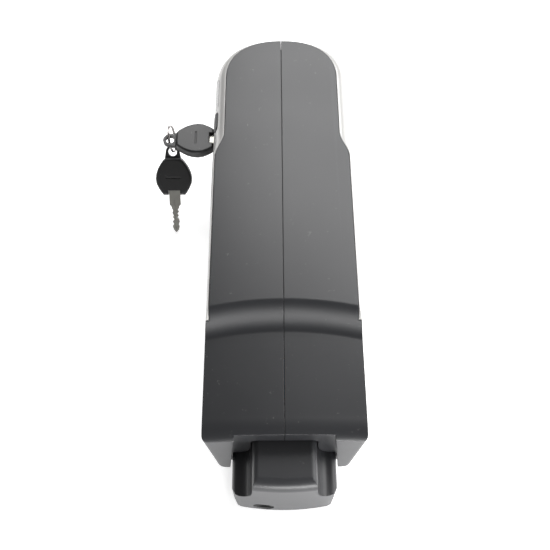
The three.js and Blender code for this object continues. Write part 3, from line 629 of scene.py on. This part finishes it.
def moulded(name, rgb, roughness, grain=1800.0, depth=0.00002, wear=0.35, dust=0.15, cloud=0.12, coat=0.0,
            metallic=0.0, rounding=0.7 * MM):
    """Moulded or painted plastic: spark grain, cloudy tone, rubbed edges and a little dust."""
    if name in bpy.data.materials:
        return bpy.data.materials[name]
    material, tree, shader = new_material(name)
    texture = placed(tree, spark_grain(), Scale=grain)
    rubbed = placed(tree, edge_wear())
    dusty = placed(tree, settled_dust(), Amount=dust)
    clouds = node(tree, "ShaderNodeMix", {"data_type": "RGBA"})
    clouds.inputs[MIX_FIRST].default_value = tone(rgb, 1 - cloud)
    clouds.inputs[MIX_SECOND].default_value = tone(rgb, 1 + cloud)
    worn = node(tree, "ShaderNodeMix", {"data_type": "RGBA"})
    worn.inputs[MIX_SECOND].default_value = tone(rgb, 2.2)
    dusted = node(tree, "ShaderNodeMix", {"data_type": "RGBA"})
    dusted.inputs[MIX_SECOND].default_value = DUST_TONE
    wear_share = node(tree, "ShaderNodeMath", {"operation": "MULTIPLY"})
    wear_share.inputs[1].default_value = wear
    rough = node(tree, "ShaderNodeMapRange", To_Min=roughness - 0.05, To_Max=roughness + 0.05)
    bump = node(tree, "ShaderNodeBump", Strength=0.6, Distance=depth)
    rounded = node(tree, "ShaderNodeBevel", Radius=rounding)
    link = tree.links.new
    link(rounded.outputs[0], bump.inputs["Normal"])
    link(texture.outputs["Cloud"], clouds.inputs[MIX_SHARE])
    link(clouds.outputs[MIX_RESULT], worn.inputs[MIX_FIRST])
    link(rubbed.outputs["Mask"], wear_share.inputs[0])
    link(wear_share.outputs[0], worn.inputs[MIX_SHARE])
    link(worn.outputs[MIX_RESULT], dusted.inputs[MIX_FIRST])
    link(dusty.outputs["Mask"], dusted.inputs[MIX_SHARE])
    link(dusted.outputs[MIX_RESULT], shader.inputs["Base Color"])
    link(texture.outputs["Cloud"], rough.inputs["Value"])
    link(rough.outputs["Result"], shader.inputs["Roughness"])
    link(texture.outputs["Height"], bump.inputs["Height"])
    link(bump.outputs["Normal"], shader.inputs["Normal"])
    shader.inputs["Metallic"].default_value = metallic
    shader.inputs["Coat Weight"].default_value = coat
    shader.inputs["Coat Roughness"].default_value = 0.2
    return material


def metal(name, rgb, roughness, brushed=(1.0, 1.0, 30.0), scratch=0.00002, wear=0.2, rounding=0.25 * MM):
    """Plated or machined metal with fine drawn lines and a mottled polish."""
    if name in bpy.data.materials:
        return bpy.data.materials[name]
    material, tree, shader = new_material(name)
    coords = node(tree, "ShaderNodeTexCoord")
    stretch = node(tree, "ShaderNodeMapping")
    stretch.inputs["Scale"].default_value = brushed
    lines = node(tree, "ShaderNodeTexNoise", Scale=400.0, Detail=4.0, Roughness=0.6)
    mottle = placed(tree, spark_grain(), Scale=500.0, Cloud_Scale=60.0)
    rubbed = placed(tree, edge_wear(), Breakup=300.0)
    shade = node(tree, "ShaderNodeMix", {"data_type": "RGBA"})
    shade.inputs[MIX_FIRST].default_value = tone(rgb, 0.8)
    shade.inputs[MIX_SECOND].default_value = tone(rgb, 1.15)
    worn = node(tree, "ShaderNodeMix", {"data_type": "RGBA"})
    worn.inputs[MIX_SECOND].default_value = tone(rgb, 1.4)
    share = node(tree, "ShaderNodeMath", {"operation": "MULTIPLY"})
    share.inputs[1].default_value = wear
    rough = node(tree, "ShaderNodeMapRange", To_Min=max(0.05, roughness - 0.1), To_Max=roughness + 0.1)
    bump = node(tree, "ShaderNodeBump", Strength=0.4, Distance=scratch)
    rounded = node(tree, "ShaderNodeBevel", Radius=rounding)
    link = tree.links.new
    link(rounded.outputs[0], bump.inputs["Normal"])
    link(coords.outputs["Object"], stretch.inputs["Vector"])
    link(stretch.outputs["Vector"], lines.inputs["Vector"])
    link(mottle.outputs["Cloud"], shade.inputs[MIX_SHARE])
    link(shade.outputs[MIX_RESULT], worn.inputs[MIX_FIRST])
    link(rubbed.outputs["Mask"], share.inputs[0])
    link(share.outputs[0], worn.inputs[MIX_SHARE])
    link(worn.outputs[MIX_RESULT], shader.inputs["Base Color"])
    link(lines.outputs["Fac"], rough.inputs["Value"])
    link(rough.outputs["Result"], shader.inputs["Roughness"])
    link(lines.outputs["Fac"], bump.inputs["Height"])
    link(bump.outputs["Normal"], shader.inputs["Normal"])
    shader.inputs["Metallic"].default_value = 1.0
    return material


# A slot's finish, made from the colours that a user can change.
FINISHES = {
    "case_grey": lambda look: moulded("case plastic", look.case, 0.38),
    "side_silver": lambda look: moulded("side panel paint", look.silver, 0.36, grain=2600.0, depth=0.000006,
                                        wear=0.1, cloud=0.04, coat=0.15, metallic=0.25),
    "dock_plastic": lambda look: moulded("dock plastic", look.dock, 0.38),
    "rail_black": lambda look: metal("anodised rail", (0.06, 0.06, 0.065), 0.42, (1.0, 0.05, 1.0)),
    "rubber": lambda look: moulded("moulded rubber", (0.014, 0.014, 0.014), 0.72, grain=1200.0, wear=0.1),
    "screw_steel": lambda look: metal("zinc plated steel", (0.55, 0.55, 0.54), 0.3),
    "key_steel": lambda look: metal("stamped key steel", (0.32, 0.315, 0.29), 0.36, (0.2, 1.0, 1.0)),
    "key_plastic": lambda look: moulded("key bow plastic", look.key_bow, 0.4, grain=1400.0, wear=0.3),
    "ring_chrome": lambda look: metal("ring wire", (0.42, 0.40, 0.39), 0.2, wear=0.1),
    "lock_metal": lambda look: metal("lock casing", (0.5, 0.5, 0.5), 0.3),
    "plug_brass": lambda look: metal("lock plug brass", (0.55, 0.43, 0.2), 0.3),
    "contact_brass": lambda look: metal("contact brass", (0.72, 0.5, 0.2), 0.2),
    "connector_black": lambda look: moulded("connector nylon", (0.012, 0.012, 0.013), 0.5),
    "cell_wrap": lambda look: moulded("cell sleeve", (0.05, 0.2, 0.42), 0.25, grain=600.0, coat=0.3,
                                      wear=0.1),
    "insulator_board": lambda look: moulded("insulation board", (0.5, 0.4, 0.22), 0.75, grain=900.0,
                                            cloud=0.2),
    "board_green": lambda look: moulded("circuit board", (0.015, 0.1, 0.04), 0.3, grain=700.0, coat=0.3),
    "heatsink_aluminium": lambda look: metal("heatsink aluminium", (0.6, 0.6, 0.62), 0.35, (1.0, 0.05, 1.0)),
    "fuse_body": lambda look: moulded("fuse plastic", (0.6, 0.16, 0.03), 0.25, coat=0.3, wear=0.05),
    "lead_red": lambda look: moulded("red lead sleeve", (0.4, 0.02, 0.015), 0.5, grain=900.0, wear=0.05),
    "lead_black": lambda look: moulded("black lead sleeve", (0.015, 0.015, 0.015), 0.5, grain=900.0,
                                       wear=0.05),
    "window_smoke": lambda look: moulded("smoked window", (0.02, 0.02, 0.024), 0.12, depth=0.000002, coat=0.5,
                                         wear=0.05, dust=0.05),
    "button_grey": lambda look: moulded("button rubber", (0.035, 0.035, 0.038), 0.55, grain=1300.0, wear=0.2),
}


def finish_of(slot):
    """The finish of a material slot."""
    return FINISHES[slot](bpy.context.scene.battery_pack_finish)


# ---- pieces -------------------------------------------------------------------------------


def halves(obj, left_name, right_name, gap):
    """Splits a form that crosses the middle plane into its left and right pieces."""
    right = copy_of(obj, right_name)
    obj.name = left_name
    combine(obj, box("half", (-gap / 2, -REACH, -REACH), (REACH, REACH, REACH)))
    combine(right, box("half", (-REACH, -REACH, -REACH), (gap / 2, REACH, REACH)))
    return obj, right


def middle_of(corners, *axes):
    """The middle of a box along some of its axes."""
    low, high = corners
    return [(low[axis] + high[axis]) / 2 for axis in axes]


def cut_lock_hole(obj):
    """Cuts the round hole that the lock's housing stands in."""
    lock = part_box("lock_housing")
    combine(obj, rod("lock hole", "x", -REACH, lock[1][0], middle_of(lock, 1, 2), LOCK_HOLE))


def cut_shoulder_holes(obj, shape):
    """Cuts the holes for the gauge and the button."""
    holes = (("gauge hole", GAUGE_PLACE, GAUGE_SIZE), ("button hole", BUTTON_PLACE, BUTTON_SIZE))
    for name, place, size in holes:
        combine(obj, shoulder_bar(name, shape, place, *size, *SHOULDER_CUT, GAP))


class PACK_OT_shells(bpy.types.Operator):
    """Build the two case shells that meet in the centre seam"""

    bl_idname = "battery_pack.shells"
    bl_label = "Case shells"

    def execute(self, context):
        shape = context.scene.battery_pack_shape
        skin = sides("skin", shape)
        combine(skin, under_crest("crest", shape), "INTERSECT")
        body = copy_of(skin, "body")
        # Under the side panels the shell is set in by a panel's thickness.
        sunk = box("sunk", (-REACH, PANEL_LOW[1] - GAP, PANEL_LOW[2] - GAP), (REACH, REACH, REACH))
        combine(sunk, cap_block(shape))
        combine(sunk, sides("core", shape, PANEL_THICK + GAP))
        combine(body, sunk)
        combine(body, under_crest("crest", shape), "INTERSECT")
        # Hollow inside, with a pocket for the dock's nose.
        hollow = sides("hollow", shape, PANEL_THICK + GAP + WALL, SHELL_LOW[2] + WALL, ARCH_STEPS // 2)
        combine(hollow, under_crest("crest", shape, 3 * MM), "INTERSECT")
        pocket_end = NOSE_HIGH[1] + NOSE_CLEARANCE
        combine(hollow, along_y("wall", nose_section(NOSE_CLEARANCE + WALL), -REACH, pocket_end + WALL))
        combine(body, hollow)
        combine(body, along_y("pocket", nose_section(NOSE_CLEARANCE), -REACH, pocket_end))
        # The recess between the two cheeks of the near end.
        recess = CHEEK + [(-x, z) for x, z in reversed(CHEEK)]
        combine(body, along_y("recess", recess, -REACH, SHELL_LOW[1] + 5 * MM))
        # Openings for the connector, bolt, lock, socket, gauge and button.
        plug_low, plug_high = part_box("pack_connector")
        grow = Vector((GAP, 10 * MM, GAP))
        combine(body, box("door", Vector(plug_low) - grow, Vector(plug_high) + grow))
        bolt = middle_of(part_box("lock_bolt"), 0, 1)
        bolt[1] += BOLT_PIN_ALONG
        combine(body, rod("bolt hole", "z", 0, 0.04, bolt, BOLT_HOLE, 24))
        cut_lock_hole(body)
        socket = middle_of(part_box("charge_socket"), 1, 2)
        combine(body, rod("socket hole", "x", 0.03, REACH, socket, SOCKET_HOLE))
        cut_shoulder_holes(body, shape)
        bpy.data.objects.remove(skin)
        left, right = halves(body, "left_case_shell", "right_case_shell", shape.seam_gap)
        for piece, name in ((left, "left_shell"), (right, "right_shell")):
            smooth(piece)
            finish_piece(piece, "pack", "case_grey", finish_of("case_grey"), name)
        return {"FINISHED"}


class PACK_OT_side_panels(bpy.types.Operator):
    """Build the two silver side panels that wrap round the far end"""

    bl_idname = "battery_pack.side_panels"
    bl_label = "Side panels"

    def execute(self, context):
        shape = context.scene.battery_pack_shape
        skin = sides("skin", shape)
        combine(skin, under_crest("crest", shape), "INTERSECT")
        combine(skin, sides("core", shape, PANEL_THICK))
        combine(skin, cap_block(shape, GAP))
        combine(skin, box("near", (-REACH, -REACH, -REACH), (REACH, PANEL_LOW[1], REACH)))
        combine(skin, box("low", (-REACH, -REACH, -REACH), (REACH, REACH, PANEL_LOW[2])))
        cut_lock_hole(skin)
        cut_shoulder_holes(skin, shape)
        left, right = halves(skin, "left_silver_panel", "right_silver_panel", shape.seam_gap)
        for piece, name in ((left, "left_side_panel"), (right, "right_side_panel")):
            smooth(piece)
            finish_piece(piece, "pack", "side_silver", finish_of("side_silver"), name)
        return {"FINISHED"}


def nose_form(name, inset=0.0):
    """The nose's outer form: its section along the pack, cut by a leaning, bulging front."""
    back = NOSE_HIGH[1] - (NOSE_WALL if inset else 0)
    half = NOSE_HIGH[0] - inset
    top = NOSE_HIGH[2] - inset
    front_y = NOSE_LOW[1] + inset

    def layer(z, extra, corner=5 * MM):
        front = front_y + NOSE_LEAN * max(z, 0) / NOSE_HIGH[2] + extra
        outline = [(half, back), (-half, back)]
        steps = 28
        for i in range(steps + 1):
            x = -half + 2 * half * i / steps
            edge = max(0.0, (abs(x) - (half - corner)) / corner)
            bow = NOSE_BOW * (x / half) ** 2
            outline.append((x, front + bow + corner * (1 - math.sqrt(max(0.0, 1 - edge ** 2)))))
        return z, outline

    layers = [layer(-2 * MM, 0.0)]
    steps = 14
    for i in range(steps):
        turn = math.pi / 2 * i / steps
        layers.append(layer(top - NOSE_ROLL + NOSE_ROLL * math.sin(turn), NOSE_ROLL * (1 - math.cos(turn))))
    layers.append(layer(top + 1 * MM, NOSE_ROLL))
    form = stack(name, layers)
    combine(form, along_y("section", nose_section(-inset), NOSE_LOW[1] - 5 * MM, back), "INTERSECT")
    return form


class PACK_OT_dock_nose(bpy.types.Operator):
    """Build the dock's nose with its cable outlet and grommet"""

    bl_idname = "battery_pack.dock_nose"
    bl_label = "Dock nose"

    def execute(self, context):
        nose = nose_form("dock_nose_housing")
        combine(nose, box("ground", (-REACH, -REACH, -REACH), (REACH, REACH, 0.0)))
        combine(nose, nose_form("inside", NOSE_WALL))
        hole_low, hole_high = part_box("cable_grommet")
        hole = middle_of((hole_low, hole_high), 0, 2)
        combine(nose, rod("cable hole", "y", -REACH, NOSE_LOW[1] + 12 * MM, hole, CABLE_HOLE))
        plug_low, plug_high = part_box("dock_connector")
        grow = Vector((GAP, 0, GAP))
        far = Vector((plug_high[0], plug_high[1] + 10 * MM, plug_high[2]))
        combine(nose, box("door", Vector(plug_low) + Vector((0, 7 * MM, 0)) - grow, far + grow))
        smooth(nose)
        finish_piece(nose, "dock", "dock_plastic", finish_of("dock_plastic"), "dock_nose")
        # Grommet: a turned rubber ring with a lip.
        bore = 4.6 * MM
        outer = (hole_high[0] - hole_low[0]) / 2
        depth = hole_high[1] - hole_low[1]
        profile = [(bore, 0.5 * MM), (bore + 0.5 * MM, 0.0), (outer - 0.7 * MM, 0.0), (outer, 0.6 * MM),
                   (outer, 1.6 * MM), (outer - 0.6 * MM, 2.2 * MM), (outer - 0.6 * MM, depth - 0.6 * MM),
                   (outer - 1.2 * MM, depth), (bore + 0.6 * MM, depth), (bore, depth - 0.6 * MM)]
        grommet = turned_ring("cable_outlet_grommet", profile)
        grommet.data.transform(Matrix.Translation((hole[0], hole_low[1], hole[1])) @ Y_FROM_Z)
        finish_piece(grommet, "dock", "rubber", finish_of("rubber"), "cable_grommet")
        return {"FINISHED"}


def turned_ring(name, profile, sides_round=64):
    """A closed profile of (radius, height) turned round the Z axis."""
    verts, faces = [], []
    count = len(profile)
    for i in range(sides_round):
        turn = 2 * math.pi * i / sides_round
        verts += [(r * math.cos(turn), r * math.sin(turn), h) for r, h in profile]
        for k in range(count):
            here = i * count + k
            beside = i * count + (k + 1) % count
            ahead = (i + 1) % sides_round * count
            faces.append([here, beside, ahead + (k + 1) % count, ahead + k])
    ring = make_object(name, verts, faces)
    smooth(ring)
    return ring


def key_frames():
    """Where the two keys lie: each frame has its origin in the eye and X along the key."""
    ring_low, ring_high = (Vector(corner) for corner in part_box("key_ring"))
    lock_low, lock_high = (Vector(corner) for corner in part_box("lock_housing"))
    middle = (ring_low + ring_high) / 2
    eye = Vector((middle.x, (lock_low.y + lock_high.y) / 2, (lock_low.z + lock_high.z) / 2))
    lean = math.radians(SPARE_LEAN)
    along = Vector((0, -math.cos(lean), -math.sin(lean)))
    across = Vector((1, 0, 0))
    spare = Matrix((along, across, along.cross(across))).transposed().to_4x4()
    reach = (eye - middle).length
    return Matrix.Translation(eye), Matrix.Translation(middle + along * reach) @ spare, middle, reach


def key_bow(name):
    """A moulded bow: rounded edges, an eye on a thin lug, a notch for the blade and a short groove."""

    def outline(inset):
        upper = [(min(x, BOW_END - inset) * MM, max(y - inset, 1.0) * MM) for x, y in BOW_EDGE]
        upper[0] = ((BOW_EDGE[0][0] + inset) * MM, upper[0][1])
        return upper + [(x, -y) for x, y in reversed(upper)]

    bow = stack(name, [(z * MM, outline(inset)) for z, inset in BOW_LEVELS])
    lug = disc(EYE_LUG * MM, sides=32)[8:25] + [(10 * MM, -7.2 * MM), (10 * MM, 7.2 * MM)]
    combine(bow, stack("lug", [(-1.3 * MM, lug), (1.3 * MM, lug)]), "UNION")
    combine(bow, rod("eye", "z", -0.01, 0.01, (0, 0), EYE_HOLE * MM, 32))
    combine(bow, box("notch", (30 * MM, -4.8 * MM, -0.01), (0.04, 4.8 * MM, 0.01)))
    for side in (-1, 1):
        reach = sorted((side * 3.5 * MM, side * 6 * MM))
        combine(bow, box("groove", (19.4 * MM, -5.5 * MM, reach[0]), (20.6 * MM, 5.5 * MM, reach[1])))
    return bow


def key_blade(name):
    """A stamped blade with bites on both edges and a groove along each face."""
    outline = [(x * MM, y * MM) for x, y in BLADE_EDGE + BLADE_LOW_EDGE]
    blade = stack(name, [(-1.1 * MM, outline), (1.1 * MM, outline)])
    for side in (-1, 1):
        reach = sorted((side * 0.6 * MM, side * 3 * MM))
        combine(blade, box("groove", (38 * MM, -0.6 * MM, reach[0]), (62 * MM, 0.6 * MM, reach[1])))
    return blade


class PACK_OT_keys(bpy.types.Operator):
    """Build the key in the lock, the spare key and their split ring"""

    bl_idname = "battery_pack.keys"
    bl_label = "Keys and ring"

    def execute(self, context):
        in_lock, spare, middle, reach = key_frames()
        for place, body, stem in ((in_lock, "lock_barrel", ""), (spare, "spare_key", "spare_")):
            bow = key_bow(stem + "key_moulded_bow")
            blade = key_blade(stem + "key_stamped_blade")
            for piece, slot, node_name in ((bow, "key_plastic", stem + "key_bow"),
                                           (blade, "key_steel", stem + "key_blade")):
                piece.data.transform(place)
                smooth(piece)
                finish_piece(piece, body, slot, finish_of(slot), node_name)
        ring = coil("split_ring", reach, 0.46 * MM, 0.92 * MM, 1.96)
        lean = Matrix.Rotation(math.radians(RING_LEAN), 4, "Y")
        ring.data.transform(Matrix.Translation(middle) @ lean @ X_FROM_Z)
        smooth(ring, 60)
        finish_piece(ring, "ring", "ring_chrome", finish_of("ring_chrome"), "key_ring")
        return {"FINISHED"}


def coil(name, radius, wire, pitch, turns, steps=72, round_sides=10):
    """A wire wound round Z, with closed ends, centred on the origin."""
    verts, faces = [], []
    count = int(steps * turns)
    for i in range(count + 1):
        turn = 2 * math.pi * turns * i / count
        out = Vector((math.cos(turn), math.sin(turn), 0))
        centre = out * radius + Vector((0, 0, pitch * turns * (i / count - 0.5)))
        for k in range(round_sides):
            bend = 2 * math.pi * k / round_sides
            verts.append(tuple(centre + out * wire * math.cos(bend) + Vector((0, 0, wire * math.sin(bend)))))
    for i in range(count):
        for k in range(round_sides):
            here = i * round_sides + k
            beside = i * round_sides + (k + 1) % round_sides
            faces.append([here, beside, beside + round_sides, here + round_sides])
    faces.append(list(range(round_sides)))
    faces.append(list(range(count * round_sides, (count + 1) * round_sides)))
    return make_object(name, verts, faces)


class PACK_OT_gauge(bpy.types.Operator):
    """Build the charge gauge with its lamps and the power button on the left shoulder"""

    bl_idname = "battery_pack.gauge"
    bl_label = "Gauge and button"

    def execute(self, context):
        shape = context.scene.battery_pack_shape
        window = shoulder_bar("smoked_gauge_window", shape, GAUGE_PLACE, *GAUGE_SIZE, -3 * MM, -0.15 * MM)
        smooth(window)
        finish_piece(window, "pack", "window_smoke", finish_of("window_smoke"), "gauge_window")
        y, z = GAUGE_PLACE
        lamps = None
        for i in range(5):
            lamp = shoulder_bar("gauge_lamps", shape, (y + (i - 2) * 4.6 * MM, z), 2.4 * MM, 1.2 * MM,
                                -0.6 * MM, -0.08 * MM)
            lamps = combine(lamps, lamp, "UNION") if lamps else lamp
        smooth(lamps)
        finish_piece(lamps, "pack", "window_smoke",
                     moulded("gauge lamp lens", (0.42, 0.42, 0.40), 0.3, coat=0.3, wear=0.0))
        rim = bar_outline(*BUTTON_SIZE, -0.2 * MM)
        face = bar_outline(*BUTTON_SIZE, -0.9 * MM)
        button = stack("power_button_cap", [(-5 * MM, rim), (0.4 * MM, rim), (0.75 * MM, face)], (1, 2, 0))
        mark = rod("mark", "x", 0.6 * MM, 2 * MM, (0, 0), 1.9 * MM, 32)
        combine(mark, rod("inner", "x", 0, 3 * MM, (0, 0), 1.4 * MM, 32))
        combine(button, mark)
        button.data.transform(shoulder_frame(shape, *BUTTON_PLACE))
        smooth(button)
        finish_piece(button, "button", "button_grey", finish_of("button_grey"), "power_button")
        return {"FINISHED"}


class PACK_OT_stage(bpy.types.Operator):
    """Set up the floor, the soft lights and the camera"""

    bl_idname = "battery_pack.stage"
    bl_label = "Studio stage"

    def execute(self, context):
        scene = context.scene
        look = scene.battery_pack_finish
        corners = [(-1, -1), (1, -1), (1, 1), (-1, 1)]
        floor = make_object("studio_floor", [(x * FLOOR_REACH, y * FLOOR_REACH, FLOOR_Z) for x, y in corners],
                            [[0, 1, 2, 3]])
        material, _, shader = new_material("studio floor")
        shader.inputs["Base Color"].default_value = tone(look.floor, 1.0)
        shader.inputs["Roughness"].default_value = 0.9
        shader.inputs["Emission Color"].default_value = WHITE
        shader.inputs["Emission Strength"].default_value = FLOOR_GLOW
        floor.data.materials.append(material)
        for name, place, aim, size, power in LIGHTS:
            lamp = bpy.data.lights.new(name, "AREA")
            lamp.shape = "RECTANGLE"
            lamp.size, lamp.size_y = size
            lamp.energy = power
            holder = bpy.data.objects.new(name, lamp)
            holder.location = place
            direction = Vector(aim) - Vector(place)
            holder.rotation_euler = direction.to_track_quat("-Z", "Y").to_euler()
            scene.collection.objects.link(holder)
        world = bpy.data.worlds.new("studio")
        world.use_nodes = True
        sky = world.node_tree.nodes["Background"]
        sky.inputs["Color"].default_value = WHITE
        sky.inputs["Strength"].default_value = WORLD_STRENGTH
        scene.world = world
        scene.view_settings.view_transform = "Standard"
        camera = bpy.data.cameras.new("studio_camera")
        camera.sensor_width = CAMERA_SENSOR
        camera.lens = CAMERA_LENS
        holder = bpy.data.objects.new("studio_camera", camera)
        tilt = Matrix.Rotation(math.radians(90 - CAMERA_DIP), 4, "X")
        pan = Matrix.Rotation(math.radians(CAMERA_PAN), 4, "Y")
        roll = Matrix.Rotation(math.radians(CAMERA_ROLL), 4, "Z")
        holder.matrix_world = Matrix.Translation(CAMERA_PLACE) @ tilt @ pan @ roll
        scene.collection.objects.link(holder)
        scene.camera = holder
        return {"FINISHED"}


class PACK_OT_other_finishes(bpy.types.Operator):
    """Give every CAD piece that still shows its own finish"""

    bl_idname = "battery_pack.other_finishes"
    bl_label = "Other finishes"

    def execute(self, context):
        slots = {row["node"]: row["material_slot"] for row in frame["record"]["subparts"]}
        for name, obj in frame["nodes"].items():
            obj.data.materials.clear()
            obj.data.materials.append(finish_of(slots[name]))
        return {"FINISHED"}


# ---- panel and registering ----------------------------------------------------------------

STEPS = [
    PACK_OT_stage,
    PACK_OT_other_finishes,
    PACK_OT_shells,
    PACK_OT_side_panels,
    PACK_OT_dock_nose,
    PACK_OT_keys,
    PACK_OT_gauge,
]


class VIEW3D_PT_battery_pack(bpy.types.Panel):
    """Buttons that build the battery pack's pieces"""

    bl_label = "Battery pack"
    bl_space_type = "VIEW_3D"
    bl_region_type = "UI"
    bl_category = "Battery pack"

    def draw(self, context):
        column = self.layout.column()
        for step in STEPS:
            column.operator(step.bl_idname)
        for settings in (context.scene.battery_pack_shape, context.scene.battery_pack_finish):
            for name in settings.bl_rna.properties.keys():
                if name not in ("rna_type", "name"):
                    column.prop(settings, name)


CLASSES = [BatteryPackShape, BatteryPackFinish, *STEPS, VIEW3D_PT_battery_pack]


def register():
    """Registers the classes and hangs the settings on the scene."""
    for item in CLASSES:
        bpy.utils.register_class(item)
    bpy.types.Scene.battery_pack_shape = PointerProperty(type=BatteryPackShape)
    bpy.types.Scene.battery_pack_finish = PointerProperty(type=BatteryPackFinish)


def unregister():
    """Takes the settings and the classes away again."""
    del bpy.types.Scene.battery_pack_finish
    del bpy.types.Scene.battery_pack_shape
    for item in reversed(CLASSES):
        bpy.utils.unregister_class(item)


def main():
    """Builds every piece."""
    register()
    for step in STEPS:
        group, name = step.bl_idname.split(".")
        getattr(getattr(bpy.ops, group), name)()


if __name__ == "__main__":
    main()
